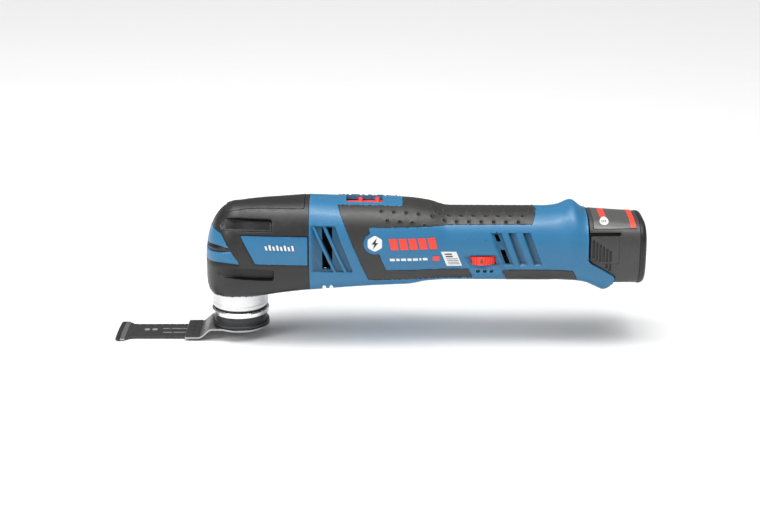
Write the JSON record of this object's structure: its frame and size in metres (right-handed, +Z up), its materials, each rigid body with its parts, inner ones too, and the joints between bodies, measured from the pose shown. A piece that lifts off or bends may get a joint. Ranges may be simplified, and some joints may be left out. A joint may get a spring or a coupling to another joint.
{
  "type": "oscillating multi tool",
  "caption": "Cordless oscillating multi tool with slide switch, speed dial, slide-in battery, clamp lever and a plunge-cut saw blade.",
  "frame": {"origin": "centre of the clamp push rod's flat end face, on the axis the output spindle swings about", "axes": "+X from the blade towards the battery along the body, +Z up along the spindle axis, -Y is the side with the speed dial"},
  "size_m": [0.3469, 0.0566, 0.0945],
  "materials": {
    "blue_shell": "fine moulded grain, satin",
    "black_shell": "fine moulded grain, satin",
    "grip_rubber": "matt soft overmould",
    "red_plastic": "satin moulded",
    "grey_plastic": "satin",
    "clear_plastic": "smoked clear light pipe",
    "die_cast": "die cast, lightly blasted",
    "bright_steel": "turned",
    "black_steel": "black oxide",
    "blade_steel": "rolled sheet, brushed",
    "tooth_steel": "ground, heat darkened",
    "core_steel": "stacked laminations",
    "copper_winding": "enamelled copper",
    "circuit_board": "solder mask",
    "cell_wrap": "shrink wrap"
  },
  "bodies": {
    "housing": {"housing_left": "blue_shell", "housing_right": "blue_shell", "grip_left": "grip_rubber", "grip_right": "grip_rubber", "grip_strip_left": "grip_rubber", "grip_strip_right": "grip_rubber", "head_cover": "black_shell", "nose_band_upper": "blue_shell", "nose_band_lower": "blue_shell", "badge_left": "blue_shell", "badge_right": "blue_shell", "gear_housing": "die_cast", "spindle_seal": "grip_rubber", "bearing_upper": "bright_steel", "bearing_lower": "bright_steel", "lever_pin": "bright_steel", "stator_core": "core_steel", "stator_winding_front": "copper_winding", "stator_winding_rear": "copper_winding", "motor_end_bracket": "die_cast", "motor_bearing_front": "bright_steel", "motor_bearing_rear": "bright_steel", "control_board": "circuit_board", "switch_module": "grey_plastic", "dial_potentiometer": "grey_plastic", "contact_block": "grey_plastic", "charge_light_pipe": "clear_plastic", "housing_screw_1": "black_steel", "housing_screw_2": "black_steel", "housing_screw_3": "black_steel", "housing_screw_4": "black_steel"},
    "rotor": {"rotor_magnet": "core_steel", "motor_shaft": "bright_steel", "cooling_fan": "grey_plastic", "eccentric_bearing": "bright_steel"},
    "spindle": {"output_spindle": "bright_steel", "oscillation_fork": "bright_steel", "tool_holder": "black_steel", "holder_ring": "bright_steel", "clamp_spring": "bright_steel", "blade_carrier": "blade_steel", "saw_strip": "blade_steel", "tooth_strip": "tooth_steel"},
    "push_rod": {"push_rod": "bright_steel"},
    "jaw_front": {"jaw_front": "black_steel"},
    "jaw_rear": {"jaw_rear": "black_steel"},
    "release_lever": {"release_lever": "black_shell"},
    "switch": {"switch_button": "red_plastic", "switch_slide_bar": "grey_plastic"},
    "dial": {"speed_dial": "red_plastic"},
    "battery": {"battery_case": "black_shell", "battery_end_cap": "black_shell", "battery_label": "grey_plastic", "cell_1": "cell_wrap", "cell_2": "cell_wrap", "cell_3": "cell_wrap", "battery_contacts": "copper_winding"},
    "latch_left": {"latch_left": "black_shell"},
    "latch_right": {"latch_right": "black_shell"}
  },
  "joints": [
    {"name": "spindle_oscillation", "type": "hinge", "parent": "housing", "child": "spindle", "pos_m": [0, 0, 0], "axis": [0, 0, 1], "range_deg": [-1.4, 1.4]},
    {"name": "motor_spin", "type": "hinge", "parent": "housing", "child": "rotor", "pos_m": [0.07, 0, 0.054], "axis": [1, 0, 0], "continuous": true},
    {"name": "lever_pivot", "type": "hinge", "parent": "housing", "child": "release_lever", "pos_m": [-0.002, 0, 0.073], "axis": [0, -1, 0], "range_deg": [0, 75]},
    {"name": "push_rod_slide", "type": "slide", "parent": "spindle", "child": "push_rod", "axis": [0, 0, -1], "range_m": [0, 0.00305], "deforming": ["clamp_spring"]},
    {"name": "jaw_front_hinge", "type": "hinge", "parent": "spindle", "child": "jaw_front", "pos_m": [-0.0051, 0, 0.0016], "axis": [0, -1, 0], "range_deg": [0, 11.1]},
    {"name": "jaw_rear_hinge", "type": "hinge", "parent": "spindle", "child": "jaw_rear", "pos_m": [0.0051, 0, 0.0016], "axis": [0, 1, 0], "range_deg": [0, 11.1]},
    {"name": "switch_slide", "type": "slide", "parent": "housing", "child": "switch", "axis": [-1, 0, 0], "range_m": [0, 0.007]},
    {"name": "dial_turn", "type": "hinge", "parent": "housing", "child": "dial", "pos_m": [0.1582, -0.009, 0.0447], "axis": [0, 0, 1], "range_deg": [-240, 0]},
    {"name": "battery_slide", "type": "slide", "parent": "housing", "child": "battery", "axis": [1, 0, 0], "range_m": [0, 0.045]},
    {"name": "latch_left_hinge", "type": "hinge", "parent": "battery", "child": "latch_left", "pos_m": [0.247, -0.0226, 0.055], "axis": [0, 0, -1], "range_deg": [0, 4], "stiffness_Nm_per_rad": 0.4},
    {"name": "latch_right_hinge", "type": "hinge", "parent": "battery", "child": "latch_right", "pos_m": [0.247, 0.0226, 0.055], "axis": [0, 0, 1], "range_deg": [0, 4], "stiffness_Nm_per_rad": 0.4}
  ],
  "couplings": [
    {"joint": "push_rod_slide", "follows": "lever_pivot", "m_per_rad": 0.002292},
    {"joint": "jaw_front_hinge", "follows": "lever_pivot", "ratio": 0.14667},
    {"joint": "jaw_rear_hinge", "follows": "lever_pivot", "ratio": 0.14667}
  ]
}
